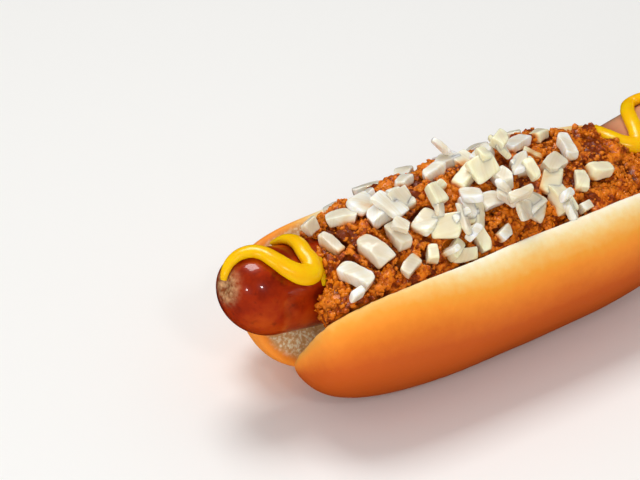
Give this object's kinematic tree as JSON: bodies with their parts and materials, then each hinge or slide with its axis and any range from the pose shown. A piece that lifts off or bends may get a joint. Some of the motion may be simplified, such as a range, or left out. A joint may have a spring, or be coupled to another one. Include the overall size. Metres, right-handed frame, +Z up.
{
  "type": "chili dog",
  "caption": "Hot dog sausage in a soft split bun, with a zigzag of mustard, a heap of meat chili and diced raw onion.",
  "frame": {"origin": "on the table under the middle of the outline", "axes": "+X along the sausage, +Y towards the lower half of the bun, +Z up"},
  "size_m": [0.169, 0.0686, 0.0629],
  "materials": {
    "bun_crust": "smooth soft baked crust with a faint sheen, golden above and orange-brown below, pale porous crumb inside",
    "sausage_casing": "glossy red-brown casing with darker mottling and a wrinkled pinch at each end",
    "mustard": "smooth wet yellow sauce",
    "chili": "coarse orange-brown ground meat in an oily sauce, matt crumbs with wet highlights",
    "onion": "wet, half clear white onion flesh with faint stripes"
  },
  "bodies": {
    "root": {"bun": "bun_crust", "sausage": "sausage_casing", "mustard_near": "mustard", "mustard_far": "mustard", "chili": "chili", "onion_01": "onion", "onion_02": "onion", "onion_03": "onion", "onion_04": "onion", "onion_05": "onion", "onion_06": "onion", "onion_07": "onion", "onion_08": "onion", "onion_09": "onion", "onion_10": "onion", "onion_11": "onion", "onion_12": "onion", "onion_13": "onion", "onion_14": "onion", "onion_15": "onion", "onion_16": "onion", "onion_17": "onion", "onion_18": "onion", "onion_19": "onion", "onion_20": "onion", "onion_21": "onion", "onion_22": "onion", "onion_23": "onion", "onion_24": "onion", "onion_25": "onion", "onion_26": "onion", "onion_27": "onion", "onion_28": "onion", "onion_29": "onion", "onion_30": "onion", "onion_31": "onion", "onion_32": "onion", "onion_33": "onion", "onion_34": "onion", "onion_35": "onion", "onion_36": "onion", "onion_37": "onion", "onion_38": "onion", "onion_39": "onion", "onion_40": "onion", "onion_41": "onion", "onion_42": "onion", "onion_43": "onion", "onion_44": "onion", "onion_45": "onion", "onion_46": "onion", "onion_47": "onion", "onion_48": "onion", "onion_49": "onion", "onion_50": "onion", "onion_51": "onion", "onion_52": "onion"}
  },
  "joints": []
}
